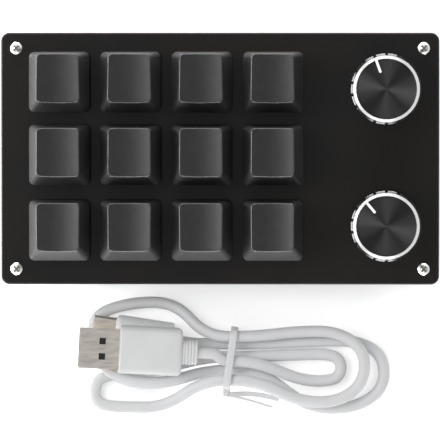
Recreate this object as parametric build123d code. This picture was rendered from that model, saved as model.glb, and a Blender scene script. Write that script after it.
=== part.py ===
# Macro keypad: a flat desk keypad with twelve keys and two rotary knobs, and its short USB cable,
# unplugged and tied in a hank in front of it.
# Millimetres. +X runs along the long side, towards the knobs, +Y runs away from the user, +Z is up.
# The origin is on the desk, under the middle of the keypad.
import math
import os

from build123d import *

os.makedirs("parts", exist_ok=True)

# Top plate
plate_length = 131.0
plate_width = 75.3
plate_thickness = 1.5
plate_corner = 2.5
plate_bevel = 0.4
switch_cutout = 14.0
encoder_cutout = 13.2
plate_screw_hole = 2.4

# Case
wall = 2.5
floor_thickness = 2.0
case_bevel = 1.0
boss_diameter = 6.4
post_diameter = 4.0
post_inset = 6.7
left_post_y = 11.0
middle_post_y = 25.0
right_post_y = 0.7
room_under_board = 4.2

# Circuit board
board_thickness = 1.6
board_to_plate_top = 5.0
board_gap = 0.3
board_hole_gap = 0.1
board_slot_gap = 0.2

# Rubber feet
foot_diameter = 9.0
foot_height = 1.5
foot_inset_x = 11.5
foot_inset_y = 10.65

# Plate screws and the inserts that they turn into
screw_inset_x = 4.6
screw_inset_y = 4.65
screw_diameter = 2.0
screw_length = 8.0
screw_head_diameter = 3.5
screw_head_height = 1.3
screw_head_bevel = 0.5
screw_recess_length = 2.2
screw_recess_width = 0.5
screw_recess_depth = 0.75
insert_diameter = 3.2
insert_length = 4.0
insert_fit = 0.05
thread_fit = 0.05
screw_hole_gap = 0.1
screw_hole_spare = 0.5

# Key places: four even columns from the plate's left edge, and three rows between its back and front edges
key_column_count = 4
key_column_pitch = 21.25
first_column_inset = 17.7
back_row_inset = 14.75
front_row_inset = 16.35
middle_row_offset = 0.4
key_travel = 4.0

# Keycaps: all rows share one skirt, and each row's top leans back and tilts by its own amounts
cap_skirt = 18.1
cap_corner = 1.7
cap_top_length = 12.4
cap_top_width = 14.5
cap_height = 9.4
cap_dish_radius = 24.0
cap_dish_depth = 0.8
cap_wall = 1.5
cap_roof = 1.6
cap_above_plate = 6.0
cap_boss_diameter = 5.8
cap_row_lean = [0.55, 0.4, 1.15]
cap_row_tilt = [4.0, 1.5, -2.0]
cap_boss_gap = 0.2

# Key switches
switch_flange = 15.6
switch_flange_thickness = 1.0
switch_body = 13.8
switch_floor_depth = 3.75
switch_well_length = 8.0
switch_well_width = 6.4
switch_post_diameter = 3.9
switch_post_length = 3.2
switch_clip_length = 5.0
switch_clip_reach = 0.3
switch_clip_height = 0.8
switch_clip_gap = 0.1
switch_height = 6.6
cover_foot = 14.6
cover_top_length = 11.2
cover_top_width = 10.4
cover_wall = 1.1
cover_roof = 1.2
stem_length = 7.2
stem_width = 5.6
stem_fit = 0.1
stem_rise = 3.6
stem_cross = 4.0
stem_cross_thickness = 1.27
cross_fit = 0.03
stem_foot_height = 0.4
stem_pocket = 4.6
stem_pocket_roof = 5.0
stem_pin_width = 2.0
stem_pin_foot_depth = 2.6
stem_pin_room = 0.3
spring_diameter = 4.2
spring_bore = 3.5
pin_places = [(-3.81, 2.54), (2.54, 5.08)]
pin_width = 1.1
pin_thickness = 0.3
pin_length = 3.2

# Parts under the keys
socket_thickness = 1.8
socket_grip = 3.6
socket_pin_hole = 1.4
light_length = 3.2
light_width = 2.8
light_drop = 0.4
light_y = -4.7
light_gap = 0.1
diode_length = 2.7
diode_width = 1.6
diode_height = 1.1
diode_y = -8.8

# Controller
chip_y = 2.0
chip_size = 7.0
chip_height = 1.4
chip_lead_row = 6.0
chip_lead_span = 9.0
chip_lead_thickness = 0.2

# USB socket in the back wall
usb_socket_x = 0.0
usb_socket_width = 8.94
usb_socket_height = 3.26
usb_socket_depth = 7.35
usb_socket_wall = 0.3
usb_socket_side_flat = 0.05
usb_socket_back = 1.0
usb_socket_setback = 0.2
usb_tongue_width = 6.7
usb_tongue_thickness = 0.7
usb_tongue_length = 4.45
usb_slot_gap = 0.25

# Rotary encoders
encoder_inset = 15.9
encoder_back_inset = 16.65
encoder_front_inset = 18.05
encoder_length = 12.0
encoder_width = 12.4
encoder_base_height = 2.2
encoder_height = 6.8
encoder_bush_diameter = 7.0
encoder_bush_height = 5.0
encoder_roof = 1.2
encoder_pin_length = 3.4
encoder_pin_width = 0.9
encoder_pin_thickness = 0.4
encoder_pin_pitch = 2.5
encoder_pin_inset = 0.6
encoder_well_diameter = 6.6
wheel_diameter = 9.8
wheel_thickness = 2.1
wheel_gap = 0.1
wheel_side_gap = 0.2
wheel_notches = 12
wheel_notch_width = 0.6
shaft_diameter = 6.0
shaft_fit = 0.05
shaft_length = 20.0
shaft_flat_length = 10.0
shaft_flat_depth = 1.5
shaft_drive = 3.6
shaft_drive_fit = 0.05
shaft_foot_height = 1.1
shaft_push = 0.5
dome_diameter = 5.0
dome_thickness = 0.2
dome_rise = 1.05
dome_slope = 55.0

# Knobs
knob_diameter = 21.0
knob_height = 15.0
knob_gap = 2.4
knob_shoulder = 0.65
knob_ring_width = 0.85
knob_ring_rise = 0.75
knob_groove_count = 18
knob_groove_width = 0.9
knob_groove_depth = 0.5
knob_bush_gap = 0.7
knob_bore_fit = 0.03
knob_pointer_width = 0.75
knob_pointer_depth = 0.3
knob_pointer_start = 5.1
knob_back_angle = 20.0
knob_front_angle = 40.0
knob_screw_diameter = 3.0
knob_screw_length = 4.0
knob_screw_height = 9.5
knob_screw_hex = 1.5
knob_screw_hex_depth = 1.5

# Cable: one cord of about half a metre, tied in a hank of three loops on the right and two on the left
hank_x = 3.0
hank_distance = 22.35
cord_diameter = 3.5
cord_sides = 6
cord_measuring_step = 0.5
cord_layer_step = 4.2
cord_waist_lift = 1.25
waist_back_lane = 6.3
waist_front_lane = -6.7
usb_c_exit = (-17.6, 5.0, 3.3)
usb_c_yaw = 9.0
usb_c_pitch = 5.2
usb_a_exit = (-10.0, 1.6, 9.6)
usb_a_yaw = 3.0
usb_a_pitch = 6.5

# Plug shells sit this deep in their grips
plug_shell_root = 2.0

# USB-A plug
usb_a_shell_width = 12.0
usb_a_shell_height = 4.5
usb_a_shell_length = 12.0
usb_a_shell_wall = 0.3
usb_a_window = 1.9
usb_a_window_y = 2.3
usb_a_window_x = 5.2
usb_a_tongue_gap = 0.1
usb_a_tongue_height = 1.9
usb_a_tongue_setback = 0.6
usb_a_grip_length = 18.8
usb_a_grip_width = 14.4
usb_a_grip_height = 7.6
usb_a_grip_corner = 2.4
usb_a_grip_bevel = 0.8
usb_a_neck_length = 4.7
usb_a_neck_width = 7.6
usb_a_neck_height = 5.6
usb_a_neck_corner = 1.7
usb_a_neck_ribs = 3
usb_a_rib_width = 0.9
usb_a_rib_depth = 0.35

# USB-C plug
usb_c_shell_width = 8.34
usb_c_shell_height = 2.56
usb_c_shell_length = 6.65
usb_c_shell_wall = 0.3
usb_c_side_round = 1.25
usb_c_grip_length = 17.6
usb_c_grip_width = 10.4
usb_c_grip_height = 5.8
usb_c_grip_corner = 2.0
usb_c_grip_bevel = 0.7

# Twist tie
tie_thickness = 1.2
tie_gap = 0.3
tie_slant = 8.0
tie_knot_length = 2.4
tie_knot_turns = 3
tie_knot_rise = 1.8
tie_tail_ends = [(14.5, -12.9), (12.4, -15.3)]

# Sides of the round pieces that are hidden inside, and of small round pieces that show
hidden_sides = 6
small_sides = 16

# Heights and places, worked out from the sizes above
case_bottom = foot_height
case_floor = case_bottom + floor_thickness
board_bottom = case_floor + room_under_board
board_top = board_bottom + board_thickness
plate_top = board_top + board_to_plate_top
plate_bottom = plate_top - plate_thickness
cap_bottom = plate_top + cap_above_plate
encoder_top = board_top + encoder_height
bush_top = encoder_top + encoder_bush_height
shaft_top = board_top + shaft_length
knob_bottom = plate_top + knob_gap
half_length = plate_length / 2
half_width = plate_width / 2
encoder_x = half_length - encoder_inset
encoder_rows = [half_width - encoder_back_inset, encoder_front_inset - half_width]
encoder_places = [(encoder_x, y) for y in encoder_rows]
back_row = half_width - back_row_inset
front_row = front_row_inset - half_width
key_rows = [back_row, (back_row + front_row) / 2 + middle_row_offset, front_row]
key_columns = [first_column_inset - half_length + k * key_column_pitch for k in range(key_column_count)]
key_places = [(x, y) for y in key_rows for x in key_columns]
strip_x = (key_columns[-1] + encoder_x) / 2
hank_y = -half_width - hank_distance


def corner_places(inset_x, inset_y):
    """Four places set in from the plate's corners."""
    x, y = half_length - inset_x, half_width - inset_y
    return [(-x, -y), (-x, y), (x, -y), (x, y)]


screw_places = corner_places(screw_inset_x, screw_inset_y)
foot_places = corner_places(foot_inset_x, foot_inset_y)
post_places = [
    (post_inset - half_length, left_post_y),
    (post_inset - half_length, -left_post_y),
    (strip_x, middle_post_y),
    (strip_x, -middle_post_y),
    (half_length - post_inset, right_post_y),
]

STAND = (Align.CENTER, Align.CENTER, Align.MIN)
HANG = (Align.CENTER, Align.CENTER, Align.MAX)


def at(x, y, z=0.0):
    return Pos(x, y, z)


def save(shape, node):
    export_step(shape, f"parts/{node}.step")


def copies(shape, places):
    """The same piece at several places, kept as separate solids."""
    return Compound(children=[at(x, y) * shape for x, y in places])


def rod(diameter, length, align, sides):
    return extrude(RegularPolygon(diameter / 2, sides), length if align == STAND else -length)


def hidden_rod(diameter, length, align=STAND):
    """A round piece that nobody sees, drawn with few sides."""
    return rod(diameter, length, align, hidden_sides)


def small_rod(diameter, length, align=STAND):
    return rod(diameter, length, align, small_sides)


def running_hole(diameter, length, align=STAND):
    """A hole whose flats lie on its circle, so that a round piece of that diameter turns in it."""
    return small_rod(diameter / math.cos(math.pi / small_sides), length, align)


def frustum(length, width, height, top_length, top_width, lean=0.0):
    """A block with four slanting sides, whose top may lie further back than its foot."""
    side = (length - top_length) / 2
    front = width / 2 - lean - top_width / 2
    block = Wedge(length, height, width, side, front, side + top_length, front + top_width)
    return at(0, 0, height / 2) * Rot(90, 0, 0) * block


def rounded_slab(length, width, corner, thickness):
    return extrude(RectangleRounded(length, width, corner), thickness)


# Top plate: one flat sheet with a bevelled edge, a square hole for each switch and encoder
def top_plate():
    sheet = at(0, 0, plate_bottom) * rounded_slab(plate_length, plate_width, plate_corner, plate_thickness)
    sheet = chamfer(sheet.faces().sort_by(Axis.Z)[-1].edges(), plate_bevel)
    for x, y in key_places:
        sheet -= at(x, y, plate_bottom) * Box(switch_cutout, switch_cutout, plate_thickness, align=STAND)
    for x, y in encoder_places:
        sheet -= at(x, y, plate_bottom) * Box(encoder_cutout, encoder_cutout, plate_thickness, align=STAND)
    for x, y in screw_places:
        sheet -= at(x, y, plate_bottom) * hidden_rod(plate_screw_hole, plate_thickness)
    return sheet


# Case: a moulded tray whose corner bosses take the inserts and whose posts carry the board
def bottom_case():
    height = plate_bottom - case_bottom
    tray = at(0, 0, case_bottom) * rounded_slab(plate_length, plate_width, plate_corner, height)
    tray = chamfer(tray.faces().sort_by(Axis.Z)[0].edges(), case_bevel)
    inside = Box(plate_length - 2 * wall, plate_width - 2 * wall, plate_bottom - case_floor, align=STAND)
    tray -= at(0, 0, case_floor) * inside
    for x, y in screw_places:
        tray += at(x, y, case_floor) * hidden_rod(boss_diameter, plate_bottom - case_floor)
    for x, y in post_places:
        tray += at(x, y, case_floor) * hidden_rod(post_diameter, room_under_board)
    insert_hole = hidden_rod(insert_diameter + 2 * insert_fit, insert_length + insert_fit, HANG)
    screw_depth = screw_length - plate_thickness + screw_hole_spare
    screw_hole = hidden_rod(screw_diameter + 2 * screw_hole_gap, screw_depth, HANG)
    for x, y in screw_places:
        tray -= at(x, y, plate_bottom) * insert_hole
        tray -= at(x, y, plate_bottom) * screw_hole
    slot_bottom = board_top - usb_slot_gap
    slot = Box(usb_socket_width + 2 * usb_slot_gap, 2 * wall, plate_bottom - slot_bottom, align=STAND)
    tray -= at(usb_socket_x, half_width, slot_bottom) * slot
    return tray


def rubber_foot():
    return small_rod(foot_diameter, foot_height)


# Plate screw: a pan head with a bevelled rim and a cross recess, on a plain shank
def plate_screw():
    head = small_rod(screw_head_diameter, screw_head_height)
    head = chamfer(head.faces().sort_by(Axis.Z)[-1].edges(), screw_head_bevel)
    screw = head + hidden_rod(screw_diameter, screw_length, HANG)
    arm = Box(screw_recess_length, screw_recess_width, screw_recess_depth, align=HANG)
    for turn in (45, 135):
        screw -= at(0, 0, screw_head_height) * Rot(0, 0, turn) * arm
    return at(0, 0, plate_top) * screw


def threaded_insert():
    sleeve = hidden_rod(insert_diameter, insert_length, HANG)
    sleeve -= hidden_rod(screw_diameter + 2 * thread_fit, insert_length, HANG)
    return at(0, 0, plate_bottom) * sleeve


# Circuit board: cut away round the corner bosses, with holes for what plugs through it
def circuit_board():
    length = plate_length - 2 * wall - 2 * board_gap
    width = plate_width - 2 * wall - 2 * board_gap
    board = at(0, 0, board_bottom) * Box(length, width, board_thickness, align=STAND)
    for x, y in screw_places:
        clear = hidden_rod(boss_diameter + 2 * board_gap, board_thickness)
        board -= at(x, y, board_bottom) * clear

    def slot(length, width, gap):
        return Box(length + 2 * gap, width + 2 * gap, board_thickness, align=STAND)

    post_hole = hidden_rod(switch_post_diameter + 2 * board_hole_gap, board_thickness)
    pin_slot = slot(pin_width, pin_thickness, board_slot_gap)
    light_window = slot(light_length, light_width, light_gap)
    holes = []
    for x, y in key_places:
        holes.append(at(x, y, board_bottom) * post_hole)
        holes.append(at(x, y + light_y, board_bottom) * light_window)
        holes += [at(x + px, y + py, board_bottom) * pin_slot for px, py in pin_places]
    lead_slot = slot(encoder_pin_width, encoder_pin_thickness, board_slot_gap)
    for x, y in encoder_places:
        holes += [at(x + px, y + py, board_bottom) * lead_slot for px, py in encoder_pin_places()]
    return board - holes


# Key switch, drawn about its own axis with the plate's top face at zero
def switch_base():
    body = Box(switch_body, switch_body, board_to_plate_top, align=HANG)
    body += Box(switch_flange, switch_flange, switch_flange_thickness, align=STAND)
    body += at(0, 0, -board_to_plate_top) * hidden_rod(switch_post_diameter, switch_post_length, HANG)
    clip = Box(switch_clip_length, switch_body + 2 * switch_clip_reach, switch_clip_height, align=HANG)
    body += at(0, 0, -plate_thickness - switch_clip_gap) * clip
    well_depth = switch_flange_thickness + switch_floor_depth
    well = Box(switch_well_length, switch_well_width, well_depth, align=HANG)
    body -= at(0, 0, switch_flange_thickness) * well
    pin_hole = stem_pin_width + 2 * stem_fit
    pin_depth = stem_pin_foot_depth + key_travel + stem_pin_room
    body -= Box(pin_hole, pin_hole, pin_depth, align=HANG)
    return at(0, 0, plate_top) * body


def switch_cover():
    height = switch_height - switch_flange_thickness
    cover = frustum(cover_foot, cover_foot, height, cover_top_length, cover_top_width)
    inner_foot = cover_foot - 2 * cover_wall
    inner_length = cover_top_length - 2 * cover_wall
    inner_width = cover_top_width - 2 * cover_wall
    cover -= frustum(inner_foot, inner_foot, height - cover_roof, inner_length, inner_width)
    cover -= Box(stem_length + 2 * stem_fit, stem_width + 2 * stem_fit, height, align=STAND)
    return at(0, 0, plate_top + switch_flange_thickness) * cover


# Stem: a hollow slider with a cross on top and a guide pin inside its spring
def key_stem():
    slider = Box(stem_length, stem_width, switch_height - stem_foot_height, align=STAND)
    slider -= Box(stem_pocket, stem_pocket, stem_pocket_roof - stem_foot_height, align=STAND)
    slider = at(0, 0, stem_foot_height) * slider
    pin_length = stem_pocket_roof + stem_pin_foot_depth
    slider += at(0, 0, stem_pocket_roof) * Box(stem_pin_width, stem_pin_width, pin_length, align=HANG)
    cross = Box(stem_cross, stem_cross_thickness, stem_rise, align=STAND)
    cross += Box(stem_cross_thickness, stem_cross, stem_rise, align=STAND)
    slider += at(0, 0, switch_height) * cross
    return at(0, 0, plate_top) * slider


def return_spring():
    length = switch_floor_depth + stem_pocket_roof
    sleeve = hidden_rod(spring_diameter, length) - hidden_rod(spring_bore, length)
    return at(0, 0, plate_top - switch_floor_depth) * sleeve


def switch_pins():
    pin = Box(pin_width, pin_thickness, pin_length, align=HANG)
    return [at(x, y, board_top) * pin for x, y in pin_places]


# Hot-swap socket: a stepped block under the board that grips the two pins
def switch_socket():
    (left_x, left_y), (right_x, right_y) = pin_places
    bridge_width = left_y - right_y + socket_grip
    bridge = Box(right_x - left_x, bridge_width, socket_thickness, align=HANG)
    block = at((left_x + right_x) / 2, (left_y + right_y) / 2) * bridge
    for x, y in pin_places:
        block += at(x, y) * Box(socket_grip, socket_grip, socket_thickness, align=HANG)
    for x, y in pin_places:
        block -= at(x, y) * Box(socket_pin_hole, socket_pin_hole, socket_thickness, align=HANG)
    return at(0, 0, board_bottom) * block


def key_light():
    height = board_thickness + light_drop - light_gap
    return at(0, light_y, board_bottom - light_drop) * Box(light_length, light_width, height, align=STAND)


def key_diode():
    return at(0, diode_y, board_bottom) * Box(diode_length, diode_width, diode_height, align=HANG)


def controller_chip():
    chip = Box(chip_size, chip_size, chip_height, align=HANG)
    leads = Box(chip_lead_span, chip_lead_row, chip_lead_thickness, align=HANG)
    leads += Box(chip_lead_row, chip_lead_span, chip_lead_thickness, align=HANG)
    return at(strip_x, chip_y, board_bottom) * (chip + leads)


# Keycap: a tapered hollow cap with a dished top, which leans back and tilts by its row's amounts
def keycap(lean, tilt):

    def taper(foot, rise):
        """A block that starts from a square foot and narrows as the cap does, up to a height."""
        share = rise / cap_height
        top_length = foot - (cap_skirt - cap_top_length) * share
        top_width = foot - (cap_skirt - cap_top_width) * share
        return frustum(foot, foot, rise, top_length, top_width, lean * share)

    cap = taper(cap_skirt, cap_height + 2 * cap_dish_depth)
    corners = cap.edges().filter_by(lambda edge: edge.bounding_box().size.Z > cap_height)
    cap = fillet(corners, cap_corner)
    middle = cap_height - cap_dish_depth
    dish = Rot(90, 0, 0) * Cylinder(cap_dish_radius, 2 * cap_skirt)
    cap -= at(0, lean, middle) * Rot(tilt, 0, 0) * at(0, 0, cap_dish_radius) * dish
    roof = middle - cap_roof
    cap -= taper(cap_skirt - 2 * cap_wall, roof)
    boss_bottom = switch_height - cap_above_plate + cap_boss_gap
    cap += at(0, 0, boss_bottom) * hidden_rod(cap_boss_diameter, roof - boss_bottom)
    slot_depth = stem_rise - cap_boss_gap
    arm = stem_cross + 2 * cross_fit
    thin = stem_cross_thickness + 2 * cross_fit
    cross = Box(arm, thin, slot_depth, align=STAND) + Box(thin, arm, slot_depth, align=STAND)
    cap -= at(0, 0, boss_bottom) * cross
    return at(0, 0, cap_bottom) * cap


# USB socket: a rolled steel shell round a thin contact tongue, its mouth in the back wall
def usb_socket_shell():
    corner = usb_socket_height / 2 - usb_socket_side_flat
    tube = extrude(RectangleRounded(usb_socket_width, usb_socket_height, corner), usb_socket_depth)
    inner_width = usb_socket_width - 2 * usb_socket_wall
    inner_height = usb_socket_height - 2 * usb_socket_wall
    mouth = RectangleRounded(inner_width, inner_height, corner - usb_socket_wall)
    tube -= at(0, 0, usb_socket_back) * extrude(mouth, usb_socket_depth)
    return usb_socket_place() * tube


def usb_socket_tongue():
    tongue = Box(usb_tongue_width, usb_tongue_thickness, usb_tongue_length, align=STAND)
    return usb_socket_place() * at(0, 0, usb_socket_back) * tongue


def usb_socket_place():
    back_y = half_width - usb_socket_setback - usb_socket_depth
    return at(usb_socket_x, back_y, board_top + usb_socket_height / 2) * Rot(-90, 0, 0)


# Rotary encoder, drawn about its shaft's axis with the board's top face at zero
def encoder_pin_places():
    switch_row = encoder_width / 2 - encoder_pin_inset
    signal = [(step * encoder_pin_pitch, -switch_row) for step in (-1, 0, 1)]
    push = [(step * encoder_pin_pitch, switch_row) for step in (-1, 1)]
    return signal + push


def encoder_base():
    base = Box(encoder_length, encoder_width, encoder_base_height, align=STAND)
    base -= hidden_rod(encoder_well_diameter, encoder_base_height)
    for x, y in encoder_pin_places():
        base += at(x, y) * Box(encoder_pin_width, encoder_pin_thickness, encoder_pin_length, align=HANG)
    return at(0, 0, board_top) * base


def encoder_cover():
    body_height = encoder_height - encoder_base_height
    body = at(0, 0, encoder_base_height) * Box(encoder_length, encoder_width, body_height, align=STAND)
    body += at(0, 0, encoder_height) * small_rod(encoder_bush_diameter, encoder_bush_height)
    cavity_height = body_height - encoder_roof
    cavity = running_hole(wheel_diameter + 2 * wheel_side_gap, cavity_height)
    body -= at(0, 0, encoder_base_height) * cavity
    body -= running_hole(shaft_diameter + 2 * shaft_fit, encoder_height + encoder_bush_height)
    return at(0, 0, board_top) * body


def encoder_wheel(angle):
    wheel = Cylinder(wheel_diameter / 2, wheel_thickness, align=STAND)
    hole = shaft_drive + 2 * shaft_drive_fit
    wheel -= Box(hole, hole, wheel_thickness, align=STAND)
    notch = Box(wheel_notch_width, wheel_notch_width, wheel_thickness, align=STAND)
    notch = at(wheel_diameter / 2, 0) * Rot(0, 0, 45) * notch
    wheel -= [Rot(0, 0, k * 360 / wheel_notches) * notch for k in range(wheel_notches)]
    return at(0, 0, board_top + encoder_base_height + wheel_gap) * Rot(0, 0, angle) * wheel


def encoder_shaft(angle):
    """A round shaft with a square foot through the wheel and a flat for the knob's grub screw."""
    shoulder = encoder_base_height + wheel_gap + wheel_thickness + shaft_push + wheel_gap
    shaft = at(0, 0, shoulder) * Cylinder(shaft_diameter / 2, shaft_length - shoulder, align=STAND)
    drive = Box(shaft_drive, shaft_drive, shoulder - shaft_foot_height, align=STAND)
    shaft += at(0, 0, shaft_foot_height) * drive
    flat = Box(shaft_diameter, 2 * shaft_flat_depth, shaft_flat_length, align=HANG)
    shaft -= at(0, -shaft_diameter / 2, shaft_length) * flat
    return at(0, 0, board_top) * Rot(0, 0, angle) * shaft


def encoder_dome():
    """The thin pressed dome under the shaft, which snaps flat to close the push switch."""
    outer_foot = RegularPolygon(dome_diameter / 2, hidden_sides)
    inner_foot = RegularPolygon(dome_diameter / 2 - dome_thickness, hidden_sides)
    dome = extrude(outer_foot, dome_rise, taper=dome_slope)
    dome -= extrude(inner_foot, dome_rise - dome_thickness, taper=dome_slope)
    return at(0, 0, board_top) * dome


# Knob: turned aluminium, a grip with upright grooves, a bright ring cut above it and a face with a pointer
def knob(angle):
    outer = knob_diameter / 2
    neck = outer - knob_shoulder
    face = neck - knob_ring_width
    grip_top = knob_height - knob_ring_rise
    body = Cylinder(outer, grip_top, align=STAND)
    body += at(0, 0, grip_top) * Cone(neck, face, knob_ring_rise, align=STAND)
    outwards = (Align.MIN, Align.CENTER, Align.MIN)
    groove = at(outer - knob_groove_depth, 0) * Box(outer, knob_groove_width, grip_top, align=outwards)
    body -= [Rot(0, 0, (k + 0.5) * 360 / knob_groove_count) * groove for k in range(knob_groove_count)]
    bush_room = bush_top + shaft_push + knob_bush_gap - knob_bottom
    body -= running_hole(encoder_bush_diameter + 2 * knob_bush_gap, bush_room)
    body -= running_hole(shaft_diameter + 2 * knob_bore_fit, shaft_top - knob_bottom)
    towards_rim = (Align.CENTER, Align.MIN, Align.MAX)
    pointer = Box(knob_pointer_width, neck - knob_pointer_start, knob_pointer_depth, align=towards_rim)
    body -= at(0, knob_pointer_start, knob_height) * pointer
    screw_hole = hidden_rod(knob_screw_diameter, outer)
    body -= at(0, 0, knob_screw_height) * Rot(90, 0, 0) * screw_hole
    return at(0, 0, knob_bottom) * Rot(0, 0, angle) * body


def knob_screw(angle):
    """The grub screw that bears on the shaft's flat."""
    start = shaft_diameter / 2 - shaft_flat_depth
    screw = hidden_rod(knob_screw_diameter - 2 * thread_fit, knob_screw_length)
    socket = extrude(RegularPolygon(knob_screw_hex / 2, 6, major_radius=False), knob_screw_hex_depth)
    screw -= at(0, 0, knob_screw_length - knob_screw_hex_depth) * socket
    laid = at(0, -start, knob_screw_height) * Rot(90, 0, 0) * screw
    return at(0, 0, knob_bottom) * Rot(0, 0, angle) * laid


# Cord: each end loop of the hank is two quarter ellipses, and the runs between them draw in to the waist
low = cord_diameter / 2
high = low + cord_layer_step
waist_low = low + cord_waist_lift
waist_high = high + cord_waist_lift


def end_loop(out, tip, back, steps):
    """Places and directions round one end of the hank, from its widest place going out to that coming back.

    steps gives the height of the cord's axis at some angles round the loop: 0 is out, 90 its tip, 180 back.
    """
    places = []
    for angle, height in steps:
        swell_x, edge_y = out if angle < 90 else back
        turn = math.radians(angle)
        reach = tip[0] - swell_x
        spread = edge_y - tip[1] if angle < 90 else tip[1] - edge_y
        x = swell_x + reach * math.sin(turn)
        y = tip[1] + spread * math.cos(turn)
        way = Vector(reach * math.cos(turn), -spread * math.sin(turn), 0).normalized()
        places.append((Vector(x, y, height), way))
    return places


def waist(lane, height, side):
    """The cord's place in the waist, where it runs to the right for side 1 and to the left for side -1."""
    return [(Vector(0, lane, height), Vector(side, 0, 0))]


def plug_direction(yaw, pitch):
    """The way that the cord leaves a plug: to the right, turned to the user by yaw and down by pitch."""
    turn, fall = math.radians(yaw), math.radians(pitch)
    return Vector(math.cos(fall) * math.cos(turn), -math.cos(fall) * math.sin(turn), -math.sin(fall))


def hank_route():
    """The cord's places from the small plug to the large one, about the middle of the hank."""
    on_desk = [(0, low), (90, low), (180, low)]
    on_top = [(0, high), (90, high), (180, high)]
    coming_down = [(0, high), (54, high), (90, low), (180, low)]
    usb_c_way = plug_direction(usb_c_yaw, usb_c_pitch)
    usb_a_way = plug_direction(usb_a_yaw, usb_a_pitch)
    route = [(Vector(*usb_c_exit) + usb_c_way * cord_diameter, usb_c_way)]
    route += waist(4.0, waist_low, 1)
    route += end_loop((34.0, 4.9), (46.2, -4.5), (32.0, -15.6), on_desk)
    route += waist(-4.0, waist_low, -1)
    route += end_loop((-25.8, -7.7), (-41.6, 6.5), (-24.0, 16.4), coming_down)
    route += waist(waist_back_lane, waist_high, 1)
    route += end_loop((27.0, 7.9), (40.3, -2.5), (28.0, -13.4), on_top)
    route += waist(waist_front_lane, waist_high, -1)
    route += end_loop((-28.0, -15.4), (-41.0, -10.2), (-33.0, -5.2), on_desk)
    route += waist(0.0, waist_low, 1)
    route += end_loop((29.0, 0.7), (33.2, -3.3), (29.0, -7.3), on_desk)
    route += waist(-1.2, waist_high, -1)
    route.append((Vector(*usb_a_exit) + usb_a_way * cord_diameter, -usb_a_way))
    return route


def biarc(start, start_way, end, end_way):
    """Two arcs that leave one place in its direction and reach the next in its own."""
    chord = end - start
    ways = start_way + end_way
    spread = 2 * (1 - start_way.dot(end_way))
    if spread < 1e-9:
        reach = chord.dot(chord) / (4 * chord.dot(end_way))
    else:
        along = chord.dot(ways)
        reach = (math.sqrt(along * along + spread * chord.dot(chord)) - along) / spread
    first_corner = start + start_way * reach
    second_corner = end - end_way * reach
    joint = (first_corner + second_corner) / 2
    joint_way = (second_corner - first_corner).normalized()
    return [TangentArc(start, joint, tangent=start_way), TangentArc(joint, end, tangent=joint_way)]


def cord_stretches():
    """The cord's centreline as arcs, with a straight stub of one diameter into each plug."""
    route = hank_route()
    first, first_way = route[0]
    last, last_way = route[-1]
    arcs = []
    for (start, start_way), (end, end_way) in zip(route, route[1:]):
        arcs += biarc(start, start_way, end, end_way)
    stub_in = Line(first - first_way * cord_diameter, first)
    stub_out = Line(last, last + last_way * cord_diameter)
    return [stub_in] + arcs + [stub_out]


def report_cord(stretches, tube, section):
    """Prints the cord's length, its tightest arc, its volume and its least gap to itself."""
    length = sum(piece.length for piece in stretches)
    radii = [piece.radius for piece in stretches[1:-1] if piece.geom_type == GeomType.CIRCLE]
    points = []
    travelled = 0.0
    for piece in stretches:
        steps = max(2, math.ceil(piece.length / cord_measuring_step))
        points += [(travelled + piece.length * k / steps, tuple(piece @ (k / steps))) for k in range(steps)]
        travelled += piece.length
    least = min(
        math.dist(a, b)
        for i, (here, a) in enumerate(points)
        for there, b in points[i + 1 :]
        if there - here > 4 * cord_diameter
    )
    print("cord length", round(length, 1), "tightest arc", round(min(radii), 2))
    print("cord volume", round(tube.volume, 1), "section times length", round(section.area * length, 1))
    print("cord least gap to itself", round(least - cord_diameter, 3))


def cable_hank():
    stretches = cord_stretches()
    start, way = stretches[0] @ 0, stretches[0] % 0
    across = way.cross(Vector(0, 0, 1))
    outline = RegularPolygon(cord_diameter / 2, cord_sides, rotation=180 / cord_sides)
    section = Plane(origin=start, x_dir=across, z_dir=way) * outline
    path = Wire([edge for piece in stretches for edge in piece.edges()])
    tube = sweep(section, path=path)
    report_cord(stretches, tube, section)
    return at(hank_x, hank_y) * tube


# Plugs, each drawn with its cord end at the origin and its tip along +X
def plug_place(exit_place, yaw, pitch):
    tip_way = -plug_direction(yaw, pitch)
    side = Vector(0, 0, 1).cross(tip_way).normalized()
    plug_plane = Plane(origin=exit_place, x_dir=tip_way, z_dir=tip_way.cross(side))
    return at(hank_x, hank_y) * plug_plane.location


def bar(start, length, width, height, corner):
    """A bar along +X with a rounded section."""
    return at(start, 0, 0) * extrude(Plane.YZ * RectangleRounded(width, height, corner), length)


def square_tube(length, width, height, thickness):
    align = (Align.MIN, Align.CENTER, Align.CENTER)
    inside = Box(length, width - 2 * thickness, height - 2 * thickness, align=align)
    return Box(length, width, height, align=align) - inside


def round_tube(length, width, height, thickness):
    """A rolled tube whose narrow sides are nearly half round."""
    inside = bar(0, length, width - 2 * thickness, height - 2 * thickness, usb_c_side_round - thickness)
    return bar(0, length, width, height, usb_c_side_round) - inside


def usb_a_shell():
    length = usb_a_shell_length + plug_shell_root
    shell = square_tube(length, usb_a_shell_width, usb_a_shell_height, usb_a_shell_wall)
    for side in (-1, 1):
        window = Box(usb_a_window, usb_a_window, 2 * usb_a_shell_height)
        shell -= at(plug_shell_root + usb_a_window_x, side * usb_a_window_y, 0) * window
    grip_end = usb_a_neck_length + usb_a_grip_length
    return plug_place(usb_a_exit, usb_a_yaw, usb_a_pitch) * at(grip_end - plug_shell_root, 0, 0) * shell


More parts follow.
